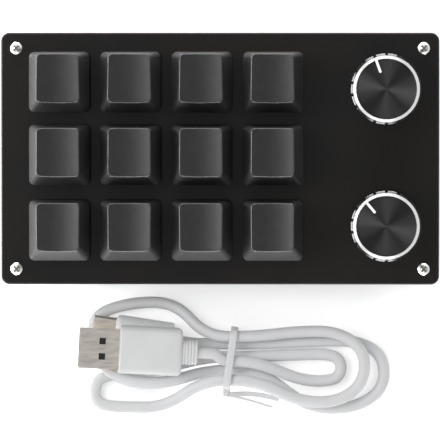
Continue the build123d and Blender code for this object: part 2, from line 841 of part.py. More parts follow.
def usb_a_tongue():
    width = usb_a_shell_width - 2 * usb_a_shell_wall - 2 * usb_a_tongue_gap
    roof = usb_a_shell_height / 2 - usb_a_shell_wall - usb_a_tongue_gap
    length = usb_a_shell_length - usb_a_tongue_setback
    tongue = Box(length, width, usb_a_tongue_height, align=(Align.MIN, Align.CENTER, Align.MAX))
    grip_end = usb_a_neck_length + usb_a_grip_length
    return plug_place(usb_a_exit, usb_a_yaw, usb_a_pitch) * at(grip_end, 0, roof) * tongue


def neck_bar(start, length, inset):
    """A stretch of the neck along +X, its section a rectangle with cut corners."""
    outline = Rectangle(usb_a_neck_width - 2 * inset, usb_a_neck_height - 2 * inset)
    outline = chamfer(outline.vertices(), usb_a_neck_corner - inset / 2)
    return at(start, 0, 0) * extrude(Plane.YZ * outline, length)


def usb_a_overmould():
    grip = bar(usb_a_neck_length, usb_a_grip_length, usb_a_grip_width, usb_a_grip_height, usb_a_grip_corner)
    grip = chamfer(grip.faces().sort_by(Axis.X)[0].edges(), usb_a_grip_bevel)
    core = neck_bar(0, usb_a_neck_length + usb_a_grip_bevel, usb_a_rib_depth)
    rib_step = usb_a_neck_length / usb_a_neck_ribs
    for k in range(usb_a_neck_ribs):
        core += neck_bar(k * rib_step, usb_a_rib_width, 0.0)
    start = usb_a_neck_length + usb_a_grip_length - plug_shell_root
    inwards = (Align.MIN, Align.CENTER, Align.CENTER)
    pocket = Box(plug_shell_root, usb_a_shell_width, usb_a_shell_height, align=inwards)
    return plug_place(usb_a_exit, usb_a_yaw, usb_a_pitch) * (grip + core - at(start, 0, 0) * pocket)


def usb_c_shell():
    length = usb_c_shell_length + plug_shell_root
    shell = round_tube(length, usb_c_shell_width, usb_c_shell_height, usb_c_shell_wall)
    root = at(usb_c_grip_length - plug_shell_root, 0, 0)
    return plug_place(usb_c_exit, usb_c_yaw, usb_c_pitch) * root * shell


def usb_c_overmould():
    grip = bar(0, usb_c_grip_length, usb_c_grip_width, usb_c_grip_height, usb_c_grip_corner)
    grip = chamfer(grip.faces().sort_by(Axis.X)[-1].edges(), usb_c_grip_bevel)
    start = usb_c_grip_length - plug_shell_root
    pocket = bar(0, plug_shell_root, usb_c_shell_width, usb_c_shell_height, usb_c_side_round)
    return plug_place(usb_c_exit, usb_c_yaw, usb_c_pitch) * (grip - at(start, 0, 0) * pocket)


# Twist tie: a wire round the waist, its ends twisted together in front and left as two tails
def twist_tie():
    reach = low + tie_gap + tie_thickness / 2
    slant = math.cos(math.radians(tie_slant))
    front, back = (waist_front_lane - reach) / slant, (waist_back_lane + reach) / slant
    bottom, top = tie_thickness / 2, waist_high + reach
    centre = at((front + back) / 2, (bottom + top) / 2)
    outline = Plane.YZ * centre * RectangleRounded(back - front, top - bottom, reach)
    path = outline.wire()
    section = Plane(origin=path @ 0, z_dir=path % 0) * Rectangle(tie_thickness, tie_thickness)
    tie = Rot(0, 0, -tie_slant) * sweep(section, path=path)
    knot_x = front * math.sin(math.radians(tie_slant))
    knot_y = front * slant
    step_length = tie_knot_length / tie_knot_turns
    for k in range(tie_knot_turns):
        place = at(knot_x, knot_y - (k + 0.5) * step_length, tie_knot_rise) * Rot(0, 45 * k, 0)
        tie += place * Box(2 * tie_thickness, step_length, tie_thickness)
    for end in tie_tail_ends:
        start = Vector(knot_x, knot_y - tie_knot_length + tie_thickness / 2, tie_knot_rise)
        tail = Line(start, (*end, tie_thickness))
        tail_section = Plane(origin=tail @ 0, z_dir=tail % 0) * Rectangle(tie_thickness, tie_thickness)
        tie += sweep(tail_section, path=tail)
    return at(hank_x, hank_y) * tie


# The keypad's pieces
save(top_plate(), "top_plate")
save(bottom_case(), "bottom_case")
save(copies(rubber_foot(), foot_places), "rubber_feet")
save(copies(plate_screw(), screw_places), "plate_screws")
save(copies(threaded_insert(), screw_places), "threaded_inserts")
save(circuit_board(), "circuit_board")
save(copies(switch_base(), key_places), "switch_bases")
save(copies(switch_cover(), key_places), "switch_covers")
save(copies(return_spring(), key_places), "return_springs")
save(copies(switch_socket(), key_places), "switch_sockets")
save(copies(key_light(), key_places), "key_lights")
save(copies(key_diode(), key_places), "diodes")
save(Compound(children=[at(x, y) * pin for x, y in key_places for pin in switch_pins()]), "switch_pins")
stem = key_stem()
number = 0
for y, lean, tilt in zip(key_rows, cap_row_lean, cap_row_tilt):
    row_cap = keycap(lean, tilt)
    for x in key_columns:
        number += 1
        save(at(x, y) * row_cap, f"keycap_{number}")
        save(at(x, y) * stem, f"key_stem_{number}")
save(controller_chip(), "controller_chip")
save(usb_socket_shell(), "usb_socket_shell")
save(usb_socket_tongue(), "usb_socket_tongue")
save(copies(encoder_base(), encoder_places), "encoder_bases")
save(copies(encoder_cover(), encoder_places), "encoder_covers")
save(copies(encoder_dome(), encoder_places), "encoder_domes")
for label, (x, y), angle in zip(("back", "front"), encoder_places, (knob_back_angle, knob_front_angle)):
    save(at(x, y) * encoder_wheel(angle), f"encoder_wheel_{label}")
    save(at(x, y) * encoder_shaft(angle), f"encoder_shaft_{label}")
    save(at(x, y) * knob(angle), f"knob_{label}")
    save(at(x, y) * knob_screw(angle), f"knob_screw_{label}")

# The cable's pieces
save(cable_hank(), "cable_hank")
save(usb_a_shell(), "usb_a_shell")
save(usb_a_tongue(), "usb_a_tongue")
save(usb_a_overmould(), "usb_a_overmould")
save(usb_c_shell(), "usb_c_shell")
save(usb_c_overmould(), "usb_c_overmould")
save(twist_tie(), "twist_tie")
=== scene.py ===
import math

import bmesh
import bpy
from mathutils import Matrix, Vector


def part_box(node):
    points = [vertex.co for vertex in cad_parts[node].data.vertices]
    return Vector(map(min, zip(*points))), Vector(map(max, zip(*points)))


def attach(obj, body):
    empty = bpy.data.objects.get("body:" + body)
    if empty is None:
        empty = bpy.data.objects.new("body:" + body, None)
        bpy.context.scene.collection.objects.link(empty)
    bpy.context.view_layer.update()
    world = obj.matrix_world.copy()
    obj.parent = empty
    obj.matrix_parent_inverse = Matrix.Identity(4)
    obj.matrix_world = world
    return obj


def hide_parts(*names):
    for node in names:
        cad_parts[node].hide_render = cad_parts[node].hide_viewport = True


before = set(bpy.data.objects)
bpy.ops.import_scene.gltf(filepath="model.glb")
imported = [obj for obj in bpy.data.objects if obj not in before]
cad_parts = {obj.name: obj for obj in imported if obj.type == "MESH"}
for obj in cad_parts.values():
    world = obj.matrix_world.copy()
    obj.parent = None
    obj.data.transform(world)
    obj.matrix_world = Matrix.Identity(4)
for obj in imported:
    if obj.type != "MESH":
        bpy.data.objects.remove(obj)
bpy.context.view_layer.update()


# Camera: high above the keypad, looking almost straight down through a long lens, as the photograph was
# taken. It stands over a point right of and behind the middle, so tall pieces lean away from there.
mm = 0.001
plate_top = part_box("top_plate")[1].z / mm
view_width = 131.6
view_middle = Vector((0.0, -18.35, plate_top))
camera_rise = 1600.0
camera_place = Vector((34.0, 36.0, plate_top + camera_rise))
lens = bpy.data.cameras.new("photo_camera")
lens.sensor_width = 36.0
lens.lens = lens.sensor_width * (camera_place - view_middle).length / view_width
lens.clip_end = 10.0
camera = bpy.data.objects.new("photo_camera", lens)
camera.location = camera_place * mm
backwards = (camera_place - view_middle).normalized()
rightwards = Vector((0.0, 1.0, 0.0)).cross(backwards).normalized()
camera.rotation_euler = Matrix((rightwards, backwards.cross(rightwards), backwards)).transposed().to_euler()
bpy.context.collection.objects.link(camera)
bpy.context.scene.camera = camera
bpy.context.scene.view_settings.view_transform = "Standard"


# Cord: one round white cord of half a metre, a soft extruded jacket over its wires, unplugged and folded into
# a hank of three loops on the right and two on the left. It lies on the desk in front of the keypad.
cord_diameter = 3.5
cord_layer_step = 4.2
cord_waist_lift = 1.25
cord_low = cord_diameter / 2
cord_high = cord_low + cord_layer_step
waist_low = cord_low + cord_waist_lift
waist_high = cord_high + cord_waist_lift
waist_back_lane, waist_front_lane = 6.3, -6.7
hank_middle = Vector((3.0, -60.0, 0.0))
usb_c_exit, usb_c_yaw, usb_c_pitch = Vector((-17.6, 5.0, 3.3)), 9.0, 5.2
usb_a_exit, usb_a_yaw, usb_a_pitch = Vector((-10.0, 1.6, 9.6)), 3.0, 6.5
least_spread = 1e-9


def end_loop(out, tip, back, steps):
    """Places and ways round one end of the hank; steps gives heights at angles from out, 0, to back, 180."""
    places = []
    for angle, height in steps:
        swell_x, edge_y = out if angle < 90 else back
        turn = math.radians(angle)
        reach = tip[0] - swell_x
        spread = edge_y - tip[1] if angle < 90 else tip[1] - edge_y
        place = Vector((swell_x + reach * math.sin(turn), tip[1] + spread * math.cos(turn), height))
        way = Vector((reach * math.cos(turn), -spread * math.sin(turn), 0)).normalized()
        places.append((place, way))
    return places


def waist(lane, height, side):
    return [(Vector((0, lane, height)), Vector((side, 0, 0)))]


def plug_direction(yaw, pitch):
    """The way that the cord leaves a plug: to the right, turned towards the user by yaw and down by pitch."""
    turn, fall = math.radians(yaw), math.radians(pitch)
    return Vector((math.cos(fall) * math.cos(turn), -math.cos(fall) * math.sin(turn), -math.sin(fall)))


def hank_route():
    on_desk = [(0, cord_low), (90, cord_low), (180, cord_low)]
    on_top = [(0, cord_high), (90, cord_high), (180, cord_high)]
    coming_down = [(0, cord_high), (54, cord_high), (90, cord_low), (180, cord_low)]
    usb_c_way = plug_direction(usb_c_yaw, usb_c_pitch)
    usb_a_way = plug_direction(usb_a_yaw, usb_a_pitch)
    route = [(usb_c_exit + usb_c_way * cord_diameter, usb_c_way)]
    route += waist(4.0, waist_low, 1)
    route += end_loop((34.0, 4.9), (46.2, -4.5), (32.0, -15.6), on_desk)
    route += waist(-4.0, waist_low, -1)
    route += end_loop((-25.8, -7.7), (-41.6, 6.5), (-24.0, 16.4), coming_down)
    route += waist(waist_back_lane, waist_high, 1)
    route += end_loop((27.0, 7.9), (40.3, -2.5), (28.0, -13.4), on_top)
    route += waist(waist_front_lane, waist_high, -1)
    route += end_loop((-28.0, -15.4), (-41.0, -10.2), (-33.0, -5.2), on_desk)
    route += waist(0.0, waist_low, 1)
    route += end_loop((29.0, 0.7), (33.2, -3.3), (29.0, -7.3), on_desk)
    route += waist(-1.2, waist_high, -1)
    route.append((usb_a_exit + usb_a_way * cord_diameter, -usb_a_way))
    return route


def control_points():
    """The cord's control points: its ends at the plugs, and two corners a stretch between two places."""
    route = hank_route()
    points = [usb_c_exit, route[0][0]]
    for (start, start_way), (end, end_way) in zip(route, route[1:]):
        chord = end - start
        along = chord.dot(start_way + end_way)
        spread = 2 * (1 - start_way.dot(end_way))
        if spread < least_spread:
            reach = chord.length_squared / (2 * along)
        else:
            reach = (math.sqrt(along * along + spread * chord.length_squared) - along) / spread
        points += [start + start_way * reach, end - end_way * reach]
    return points + [route[-1][0], usb_a_exit]


def spline_curve(name, points, diameter):
    """A round smooth cord through control points in millimetres about the hank's middle."""
    curve = bpy.data.curves.new(name, "CURVE")
    curve.dimensions = "3D"
    curve.bevel_depth = diameter / 2 * mm
    curve.bevel_resolution = 5
    curve.resolution_u = 8
    curve.use_fill_caps = True
    spline = curve.splines.new("NURBS")
    spline.points.add(len(points) - 1)
    for node, point in zip(spline.points, points):
        node.co = (*((point + hank_middle) * mm), 1.0)
    spline.order_u = 3
    spline.use_endpoint_u = True
    return curve


class Wiring:
    """A node tree that nodes are added to one by one."""

    def __init__(self, tree):
        self.nodes, self.links = tree.nodes, tree.links

    def feed(self, socket, value):
        """Links an output to a node's input, or gives the input a fixed value."""
        if isinstance(value, bpy.types.NodeSocket):
            self.links.new(value, socket)
        else:
            socket.default_value = value

    def add(self, kind, feeds=None, output=0, **settings):
        """Adds a node, with its settings and what feeds its inputs, and returns one of its outputs."""
        node = self.nodes.new(kind)
        for setting, value in settings.items():
            setattr(node, setting, value)
        for socket, value in (feeds or {}).items():
            self.feed(node.inputs[socket], value)
        return node.outputs[output]

    def math(self, operation, *values):
        return self.add("ShaderNodeMath", dict(enumerate(values)), operation=operation)

    def vector(self, operation, *values):
        output = "Value" if operation == "LENGTH" else "Vector"
        return self.add("ShaderNodeVectorMath", dict(enumerate(values)), output, operation=operation)

    def split(self, vector):
        """The three parts of a vector."""
        return self.add("ShaderNodeSeparateXYZ", {0: vector}).node.outputs

    def ramp(self, factor, low, high, start=0.3, end=0.7, **settings):
        """Maps a factor from between start and end, a noise's middle range, to between low and high."""
        feeds = {"Value": factor, "From Min": start, "From Max": end, "To Min": low, "To Max": high}
        return self.add("ShaderNodeMapRange", feeds, **settings)


class Finish(Wiring):
    """A surface whose colour, roughness and height are varied by noise in object coordinates."""

    def __init__(self, name, color, roughness, metallic=0.0, **values):
        self.material = bpy.data.materials.new(name)
        self.material.use_nodes = True
        super().__init__(self.material.node_tree)
        self.shader = self.nodes["Principled BSDF"].inputs
        self.color, self.roughness = color, roughness
        values |= {"Base_Color": (*color, 1.0), "Roughness": roughness, "Metallic": metallic}
        for socket, value in values.items():
            self.feed(self.shader[socket.replace("_", " ")], value)
        self.place = self.add("ShaderNodeTexCoord", output="Object")

    def noise(self, scale, detail=3.0, stretch=(1.0, 1.0, 1.0)):
        """Noise with scale features to a millimetre, drawn out along an axis whose factor is small."""
        scales = [scale / mm * factor for factor in stretch]
        placed = self.add("ShaderNodeMapping", {"Vector": self.place, "Scale": scales})
        return self.add("ShaderNodeTexNoise", {"Vector": placed, "Scale": 1.0, "Detail": detail}, "Fac")

    def vary_roughness(self, factor, low, high):
        self.feed(self.shader["Roughness"], self.ramp(factor, low, high))

    def vary_color(self, factor, low, high):
        """Lightens and darkens the base colour between two factors."""
        feeds = {"Vector": self.color, "Scale": self.ramp(factor, low, high)}
        self.feed(self.shader["Base Color"], self.add("ShaderNodeVectorMath", feeds, operation="SCALE"))

    def blend_color(self, factor, low, high):
        """Turns the base colour from one to another."""
        feeds = {"Factor": self.ramp(factor, 0.0, 1.0), "A": (*low, 1.0), "B": (*high, 1.0)}
        self.feed(self.shader["Base Color"], self.add("ShaderNodeMix", feeds, "Result", data_type="RGBA"))

    def bump(self, factor, height):
        """Raises the surface by up to height millimetres."""
        feeds = {"Height": factor, "Strength": 1.0, "Distance": height * mm}
        self.feed(self.shader["Normal"], self.add("ShaderNodeBump", feeds))

    def texture(self, spots, gloss, clouds, shades, grain, detail, height, stretch=(1.0, 1.0, 1.0)):
        """Adds glossier and duller spots, paler and darker clouds, and a grain as high as height."""
        dull, bright = (self.roughness * factor for factor in gloss)
        self.vary_roughness(self.noise(spots, stretch=stretch), dull, bright)
        self.vary_color(self.noise(clouds), *shades)
        self.bump(self.noise(grain, detail, stretch), height)
        return self.material


def white_jacket(name, color, roughness, height):
    """Soft white plastic: a little light passes through it, and its skin is finely matt."""
    passing = {"Subsurface_Weight": 0.1, "Subsurface_Radius": (mm, mm, mm), "Subsurface_Scale": 0.5}
    return Finish(name, color, roughness, **passing).texture(
        spots=0.7, gloss=(0.9, 1.15), clouds=0.12, shades=(0.96, 1.0), grain=4.0, detail=3.0, height=height,
    )


cord_curve = spline_curve("cord", control_points(), cord_diameter)
cord_curve.materials.append(white_jacket("cord_jacket", (0.86, 0.865, 0.875), 0.42, 0.01))
cord = bpy.data.objects.new("cord", cord_curve)
bpy.context.collection.objects.link(cord)
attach(cord, "body")
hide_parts("cable_hank")


# Plugs: each has a grip of white plastic, moulded over the cord's end and the root of a bent steel shell. The
# large plug's grip ends in a neck whose ribs let the cord bend. The plated shells are the CAD's own.
large_grip_bar = dict(length=18.8, width=14.4, height=7.6, corner=2.4, back_round=1.4, front_round=0.5)
small_grip_bar = dict(length=17.6, width=10.4, height=5.8, corner=2.4, back_round=0.6, front_round=1.4)
grip_round_steps, least_grip_corner = 6, 0.3
neck_length, neck_width, neck_height, neck_corner, neck_root = 4.7, 7.6, 5.6, 2.2, 1.0
neck_ribs, rib_width, rib_depth, rib_corner_steps, bead_sides = 5, 0.85, 0.3, 8, 16
weld_distance = 0.002


def piece_from(name, fill, body, material, replaced=(), sharp=30.0):
    """Makes a piece from a bmesh in millimetres that fill fills, and lets it ride on a body."""
    shape = bmesh.new()
    fill(shape)
    bmesh.ops.remove_doubles(shape, verts=shape.verts, dist=weld_distance)
    bmesh.ops.recalc_face_normals(shape, faces=shape.faces)
    bmesh.ops.scale(shape, vec=(mm, mm, mm), verts=shape.verts)
    mesh = bpy.data.meshes.new(name)
    shape.to_mesh(mesh)
    shape.free()
    mesh.materials.append(material)
    piece = bpy.data.objects.new(name, mesh)
    bpy.context.collection.objects.link(piece)
    settle(piece, body, replaced, sharp)
    return piece


def settle(piece, body, replaced, sharp):
    """Shades a piece smooth up to an angle, and says what it rides on and what it stands for."""
    piece.data.shade_smooth()
    piece.data.set_sharp_from_angle(angle=math.radians(sharp))
    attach(piece, body)
    if replaced:
        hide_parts(*replaced)


def skin(shape, rings, place, close_start=True, close_end=True):
    """Joins closed rings of points, all of one length, into a surface."""
    rows = [[shape.verts.new(place @ Vector(point)) for point in ring] for ring in rings]
    for lower, upper in zip(rows, rows[1:]):
        for k in range(len(lower)):
            following = (k + 1) % len(lower)
            shape.faces.new((lower[k], lower[following], upper[following], upper[k]))
    if close_start:
        shape.faces.new(reversed(rows[0]))
    if close_end:
        shape.faces.new(rows[-1])


def rounded_outline(length, width, corner, side_steps=1, corner_steps=8):
    """Points round a rounded rectangle about the origin, anticlockwise from its right side."""
    half_x, half_y = length / 2 - corner, width / 2 - corner
    points = []
    for quarter, (sx, sy) in enumerate(((1, 1), (-1, 1), (-1, -1), (1, -1))):
        for k in range(corner_steps + 1):
            turn = math.radians(90 * (quarter + k / corner_steps))
            points.append((sx * half_x + corner * math.cos(turn), sy * half_y + corner * math.sin(turn)))
        x0, y0 = points[-1]
        along = (-2 * half_x, 0.0, 2 * half_x, 0.0)[quarter]
        across = (0.0, -2 * half_y, 0.0, 2 * half_y)[quarter]
        for k in range(1, side_steps):
            points.append((x0 + along * k / side_steps, y0 + across * k / side_steps))
    return points


def plug_place(exit_place, yaw, pitch):
    """Where a plug lies, drawn with its cord end at the origin and its tip along +X."""
    tip_way = -plug_direction(yaw, pitch)
    side = Vector((0, 0, 1)).cross(tip_way).normalized()
    turn = Matrix((tip_way, side, tip_way.cross(side))).transposed().to_4x4()
    return Matrix.Translation(exit_place + hank_middle) @ turn


def grip_rings(start, length, width, height, corner, back_round, front_round):
    """Rings along +X of a rounded bar whose two ends are rounded by their own radii."""
    end = start + length - front_round
    turns = [math.radians(90 * k / grip_round_steps) for k in range(grip_round_steps + 1)]
    steps = [(start + back_round * (1 - math.cos(turn)), back_round * (1 - math.sin(turn))) for turn in turns]
    steps += [(end + front_round * math.sin(turn), front_round * (1 - math.cos(turn))) for turn in turns]
    rings = []
    for x, inset in steps:
        ring_corner = max(corner - inset, least_grip_corner)
        outline = rounded_outline(width - 2 * inset, height - 2 * inset, ring_corner)
        rings.append([(x, y, z) for y, z in outline])
    return rings


def large_grip_shape(shape):
    place = plug_place(usb_a_exit, usb_a_yaw, usb_a_pitch)
    skin(shape, grip_rings(neck_length, **large_grip_bar), place=place)
    core = rounded_outline(neck_width - 2 * rib_depth, neck_height - 2 * rib_depth, neck_corner - rib_depth)
    skin(shape, [[(x, y, z) for y, z in core] for x in (0.0, neck_length + neck_root)], place=place)


def small_grip_shape(shape):
    place = plug_place(usb_c_exit, usb_c_yaw, usb_c_pitch)
    skin(shape, grip_rings(0.0, **small_grip_bar), place=place)


class Growth(Wiring):
    """A Geometry Nodes tree for one kind of piece, whose sizes are its named inputs, in millimetres."""

    def __init__(self, name, sizes):
        self.group = bpy.data.node_groups.new(name, "GeometryNodeTree")
        super().__init__(self.group)
        sockets = self.group.interface
        sockets.new_socket(name="Geometry", in_out="INPUT", socket_type="NodeSocketGeometry")
        self.values = {}
        for label, value in sizes.items():
            kind = "NodeSocketInt" if isinstance(value, int) else "NodeSocketFloat"
            socket = sockets.new_socket(name=label, in_out="INPUT", socket_type=kind)
            self.values[socket.identifier] = value
        sockets.new_socket(name="Geometry", in_out="OUTPUT", socket_type="NodeSocketGeometry")
        self.given = self.nodes.new("NodeGroupInput").outputs

    def size(self, label):
        return self.given[label]

    def point(self, x, y, z):
        return self.add("ShaderNodeCombineXYZ", {"X": x, "Y": y, "Z": z})

    def paint(self, geometry, material, selection=True):
        feeds = {"Geometry": geometry, "Material": material, "Selection": selection}
        return self.add("GeometryNodeSetMaterial", feeds)

    def mark_faces(self, geometry, name, value):
        """Stores a mark on faces, and returns what carries it, and the mark as later nodes read it."""
        feeds = {"Geometry": geometry, "Name": name, "Value": value}
        marked = self.add("GeometryNodeStoreNamedAttribute", feeds, data_type="BOOLEAN", domain="FACE")
        return marked, self.add("GeometryNodeInputNamedAttribute", {"Name": name}, data_type="BOOLEAN")

    def close(self, geometry, material, place, turn=(0, 0, 0), selection=True):
        """Puts what has grown in its place in metres, as one plain mesh with its main material."""
        feeds = {"Geometry": geometry, "Translation": place * mm, "Rotation": turn, "Scale": (mm, mm, mm)}
        moved = self.add("GeometryNodeTransform", feeds)
        whole = self.add("GeometryNodeRealizeInstances", {"Geometry": moved})
        end = self.nodes.new("NodeGroupOutput").inputs["Geometry"]
        self.feed(end, self.paint(whole, material, selection))

    def grow(self, name, profile=()):
        """Grows the piece as a plain mesh, from a line of profile points where it needs one."""
        seed = bpy.data.meshes.new(name)
        seed.from_pydata(list(profile), [(k, k + 1) for k in range(len(profile) - 1)], [])
        piece = bpy.data.objects.new(name, seed)
        bpy.context.collection.objects.link(piece)
        modifier = piece.modifiers.new("growth", "NODES")
        modifier.node_group = self.group
        for identifier, value in self.values.items():
            modifier[identifier] = value
        evaluated = piece.evaluated_get(bpy.context.evaluated_depsgraph_get())
        piece.data = bpy.data.meshes.new_from_object(evaluated)
        piece.modifiers.remove(modifier)
        shape = bmesh.new()
        shape.from_mesh(piece.data)
        bmesh.ops.recalc_face_normals(shape, faces=shape.faces)
        shape.to_mesh(piece.data)
        shape.free()
        return piece


def neck_ribs_growth(material):
    """Rounded ribs in a row along the neck, each swept round the neck's outline."""
    tree = Growth("neck_ribs", {
        "Rib Count": neck_ribs, "Rib Pitch": neck_length / neck_ribs, "Rib Width": rib_width,
        "Neck Width": neck_width - rib_width, "Neck Height": neck_height - rib_width,
        "Corner": neck_corner - rib_width / 2,
    })
    box = {"Width": tree.size("Neck Width"), "Height": tree.size("Neck Height")}
    outline = tree.add("GeometryNodeCurvePrimitiveQuadrilateral", box)
    corners = {"Curve": outline, "Radius": tree.size("Corner"), "Count": rib_corner_steps}
    rounded = tree.add("GeometryNodeFilletCurve", corners | {"Limit Radius": True}, mode="POLY")
    standing = {"Geometry": rounded, "Rotation": (math.pi / 2, 0, math.pi / 2)}
    upright = tree.add("GeometryNodeTransform", standing)
    bead_radius = tree.math("DIVIDE", tree.size("Rib Width"), 2.0)
    bead = tree.add("GeometryNodeCurvePrimitiveCircle", {"Resolution": bead_sides, "Radius": bead_radius})
    rib = tree.add("GeometryNodeCurveToMesh", {"Curve": upright, "Profile Curve": bead})
    start, step = tree.point(bead_radius, 0.0, 0.0), tree.point(tree.size("Rib Pitch"), 0.0, 0.0)
    line = {"Count": tree.size("Rib Count"), "Start Location": start, "Offset": step}
    places = tree.add("GeometryNodeMeshLine", line, mode="OFFSET")
    row = tree.add("GeometryNodeInstanceOnPoints", {"Points": places, "Instance": rib})
    place = plug_place(usb_a_exit, usb_a_yaw, usb_a_pitch)
    tree.close(row, material, place.to_translation(), Vector(place.to_euler()))
    return tree


def plated(name, color, roughness, stretch=(1.0, 1.0, 1.0)):
    """Bright plating over metal: nearly even, with faint drawn lines and a few duller clouds."""
    return Finish(name, color, roughness, metallic=1.0).texture(
        spots=1.2, gloss=(0.85, 1.2), clouds=0.25, shades=(0.96, 1.02), grain=5.0, detail=2.0, height=0.0002,
        stretch=stretch,
    )


def moulded(name, color, roughness, height=0.01):
    """Moulded plastic with the fine texture of its mould."""
    return Finish(name, color, roughness).texture(
        spots=1.5, gloss=(0.85, 1.15), clouds=0.3, shades=(0.9, 1.1), grain=4.0, detail=4.0, height=height,
    )


def dress(material, *nodes):
    """Gives CAD nodes that stay in view their material."""
    for node in nodes:
        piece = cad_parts[node]
        piece.data.materials.clear()
        piece.data.materials.append(material)


grip_plastic = white_jacket("grip_plastic", (0.88, 0.885, 0.89), 0.33, 0.005)
large_grip = piece_from(
    "large_grip", large_grip_shape, "body", grip_plastic, ["usb_a_overmould"],
)
small_grip = piece_from(
    "small_grip", small_grip_shape, "body", grip_plastic, ["usb_c_overmould"],
)
neck_rib_row = neck_ribs_growth(grip_plastic).grow("neck_rib_row")
settle(neck_rib_row, "body", (), 40.0)
plug_nickel = plated("plug_nickel", (0.92, 0.865, 0.79), 0.42, (0.2, 1.0, 1.0))
dress(plug_nickel, "usb_a_shell", "usb_c_shell", "usb_socket_shell")
# The USB-A plug's contact carrier is coloured near black: painted shade for the dim inside of the shell seen
# through its windows.
dress(moulded("contact_carrier_painted_shade", (0.02, 0.018, 0.016), 0.5), "usb_a_tongue")


# Twist tie: a thin flat wire in a white plastic coat, bent round the hank's waist. Its ends are twisted
# together in front and lie on the desk as two tails. It holds the cord, so it belongs to it.
tie_wire, tie_gap, tie_slant = 1.2, 0.3, 8.0
tie_band_width, tie_band_thickness, tie_band_corner = 2.2, 0.6, 0.3
tie_knot_back, tie_knot_rise = 0.3, 1.8
tie_twist_turns, tie_twist_length, tie_twist_radius, tie_twist_steps = 1.5, 2.7, 0.62, 24
tie_strand_width, tie_strand_thickness, tie_corner_share = 1.0, 0.9, 0.45
tie_tail_start, tie_tail_thickness, tie_tail_rise, tie_tail_steps = 2.6, 0.7, 0.5, 12
tie_tails = (
    {"end": (14.5, -12.9, 1.3), "bow": 0.9, "width": 1.5},
    {"end": (12.4, -15.3, 0.9), "bow": 0.3, "width": 0.8},
)


def ribbon_rings(path, width, thickness):
    """Rings of a flat ribbon along a path of points."""
    outline = rounded_outline(width, thickness, thickness * tie_corner_share, corner_steps=3)
    rings = []
    for k, point in enumerate(path):
        before, after = path[max(k - 1, 0)], path[min(k + 1, len(path) - 1)]
        way = (after - before).normalized()
        side = way.cross(Vector((0, 0, 1))).normalized()
        up = side.cross(way)
        rings.append([point + side * a + up * b for a, b in outline])
    return rings


def twist_tie_shape(shape):
    place = Matrix.Translation(hank_middle)
    reach = cord_low + tie_gap + tie_wire / 2
    front, back, top = waist_front_lane - reach, waist_back_lane + reach, waist_high + reach
    middle = Vector((0, (front + back) / 2, (top + tie_wire / 2) / 2))
    outline = rounded_outline(back - front, top - tie_wire / 2, reach, side_steps=6)
    loop = [middle + Vector((0, a, b)) for a, b in outline]
    lean = Matrix.Rotation(math.radians(-tie_slant), 4, "Z")
    band = rounded_outline(tie_band_width, tie_band_thickness, tie_band_corner, corner_steps=3)
    side = Vector((1, 0, 0))
    rings = []
    for k, point in enumerate(loop):
        out = (loop[(k + 1) % len(loop)] - loop[k - 1]).normalized().cross(side)
        rings.append([lean @ (point + side * a + out * b) for a, b in band])
    skin(shape, rings + [rings[0]], close_start=False, close_end=False, place=place)
    knot = lean @ Vector((0, front, 0)) + Vector((0, tie_knot_back, tie_knot_rise))
    for phase in (0, math.pi):
        twist = []
        for k in range(tie_twist_steps + 1):
            share = k / tie_twist_steps
            turn = phase + 2 * math.pi * tie_twist_turns * share
            round_about = Vector((math.cos(turn), 0, math.sin(turn))) * tie_twist_radius
            twist.append(knot + round_about - Vector((0, tie_twist_length * share, 0)))
        skin(shape, ribbon_rings(twist, tie_strand_width, tie_strand_thickness), place=place)
    start = knot - Vector((0, tie_tail_start, 0))
    for tail in tie_tails:
        path = []
        for k in range(tie_tail_steps + 1):
            share = k / tie_tail_steps
            swell = Vector((0, tail["bow"], tie_tail_rise)) * math.sin(math.pi * share)
            path.append(start.lerp(Vector(tail["end"]), share) + swell)
        skin(shape, ribbon_rings(path, tail["width"], tie_tail_thickness), place=place)


tie_coat = white_jacket("tie_coat", (0.87, 0.875, 0.885), 0.4, 0.01)
tie = piece_from("tie", twist_tie_shape, "body", tie_coat, ["twist_tie"], 60.0)


# Case: a tray moulded in black plastic, with brass inserts pressed into its corner bosses and a slot for the
# socket in its back wall. It stands on four round rubber feet that are stuck under it.
foot_radius, foot_shoulder = 4.5, 0.5
drum_sides = 64


def corner_spans(low, high, radius):
    """The rectangle between round pieces of one radius at the corners of a box, which is in metres."""
    return {"Span X": (high.x - low.x) / mm - 2 * radius, "Span Y": (high.y - low.y) / mm - 2 * radius}


def at_corners(tree, piece):
    """Copies of a piece at the corners of the rectangle that the tree's spans give."""
    corners = {"Size X": tree.size("Span X"), "Size Y": tree.size("Span Y"), "Vertices X": 2, "Vertices Y": 2}
    places = tree.add("GeometryNodeMeshGrid", corners)
    return tree.add("GeometryNodeInstanceOnPoints", {"Points": places, "Instance": piece})


def drum(tree, side_steps, fill_steps):
    """A round block about the origin, of the tree's radius and height."""
    steps = {"Vertices": drum_sides, "Side Segments": side_steps, "Fill Segments": fill_steps}
    sizes = {"Radius": tree.size("Radius"), "Depth": tree.size("Height")}
    return tree.add("GeometryNodeMeshCylinder", steps | sizes)


